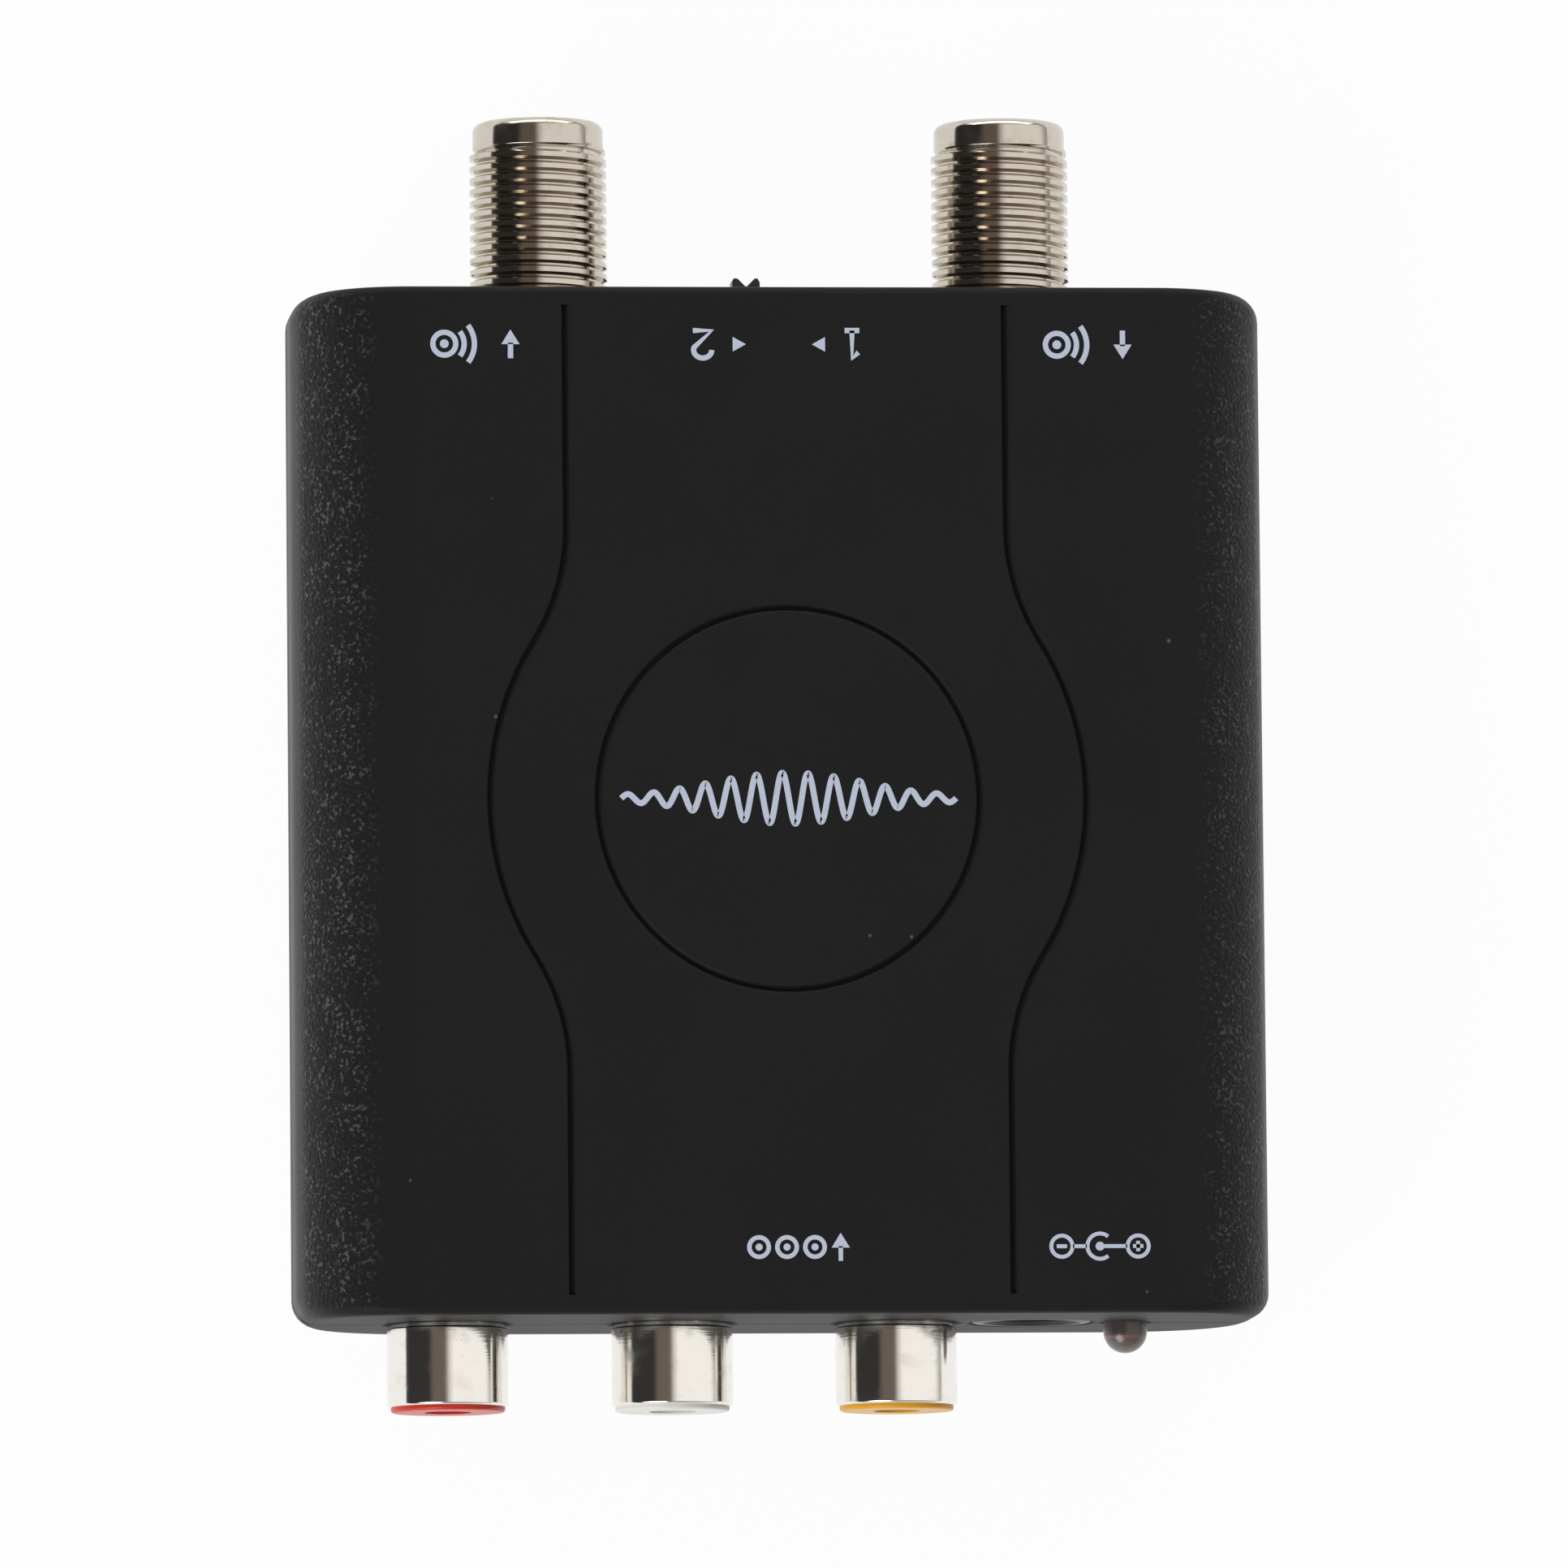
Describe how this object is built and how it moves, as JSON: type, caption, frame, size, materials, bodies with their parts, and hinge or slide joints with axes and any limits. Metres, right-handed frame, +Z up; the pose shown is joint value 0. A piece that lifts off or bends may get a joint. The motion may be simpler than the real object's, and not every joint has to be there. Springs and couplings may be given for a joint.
{
  "type": "rf modulator",
  "caption": "Small moulded box with two threaded aerial sockets and a slide switch at the back, and phono sockets, a power socket and a lamp at the front.",
  "frame": {"origin": "middle of the whole object's outline seen from above, on the ground under the feet", "axes": "+Z up, +Y towards the aerial sockets at the back, +X towards the power socket's side"},
  "size_m": [0.0666, 0.0886, 0.0228],
  "materials": {
    "upper_case_plastic": "fine moulded texture",
    "lower_case_plastic": "fine moulded texture",
    "screw_steel": "zinc plated",
    "foot_rubber": "matt",
    "board_laminate": "green solder mask",
    "socket_nickel": "nickel plated die casting",
    "white_insulator": "satin",
    "contact_brass": "plated spring brass",
    "housing_plastic": "moulded",
    "sleeve_nickel": "bright nickel",
    "red_plastic": "gloss",
    "white_plastic": "gloss",
    "yellow_plastic": "gloss",
    "power_plastic": "moulded",
    "pin_nickel": "bright nickel",
    "lamp_resin": "diffused resin, unlit",
    "tinned_lead": "tinned",
    "switch_steel": "tin plated sheet",
    "switch_laminate": "phenolic board",
    "knob_plastic": "moulded",
    "screen_steel": "tinned sheet",
    "chip_plastic": "moulded epoxy",
    "crystal_steel": "nickel plated can",
    "coil_ferrite": "ferrite",
    "capacitor_sleeve": "shrunk sleeve",
    "capacitor_ceramic": "fired ceramic",
    "resistor_film": "printed film"
  },
  "bodies": {
    "case": {"top_cover": "upper_case_plastic", "bottom_cover": "lower_case_plastic", "case_screws": "screw_steel", "rubber_feet": "foot_rubber", "circuit_board": "board_laminate", "rf_out_body": "socket_nickel", "rf_out_insulator": "white_insulator", "rf_out_contact": "contact_brass", "rf_in_body": "socket_nickel", "rf_in_insulator": "white_insulator", "rf_in_contact": "contact_brass", "red_phono_housing": "housing_plastic", "red_phono_sleeve": "sleeve_nickel", "red_phono_insulator": "red_plastic", "red_phono_contact": "contact_brass", "white_phono_housing": "housing_plastic", "white_phono_sleeve": "sleeve_nickel", "white_phono_insulator": "white_plastic", "white_phono_contact": "contact_brass", "yellow_phono_housing": "housing_plastic", "yellow_phono_sleeve": "sleeve_nickel", "yellow_phono_insulator": "yellow_plastic", "yellow_phono_contact": "contact_brass", "power_socket_housing": "power_plastic", "power_socket_pin": "pin_nickel", "power_socket_spring": "pin_nickel", "power_lamp_lens": "lamp_resin", "power_lamp_leads": "tinned_lead", "switch_frame": "switch_steel", "switch_base": "switch_laminate", "switch_terminals": "contact_brass", "screen_frame": "screen_steel", "screen_lid": "screen_steel", "modulator_chip": "chip_plastic", "modulator_chip_leads": "tinned_lead", "crystal": "crystal_steel", "tuning_coils": "coil_ferrite", "voltage_regulator": "chip_plastic", "protection_diode": "chip_plastic", "electrolytic_capacitors": "capacitor_sleeve", "chip_capacitors": "capacitor_ceramic", "chip_resistors": "resistor_film"},
    "channel_knob": {"switch_knob": "knob_plastic", "switch_contact": "contact_brass"}
  },
  "joints": [
    {"name": "channel_slide", "type": "slide", "parent": "case", "child": "channel_knob", "axis": [1, 0, 0], "range_m": [0, 0.002]}
  ]
}
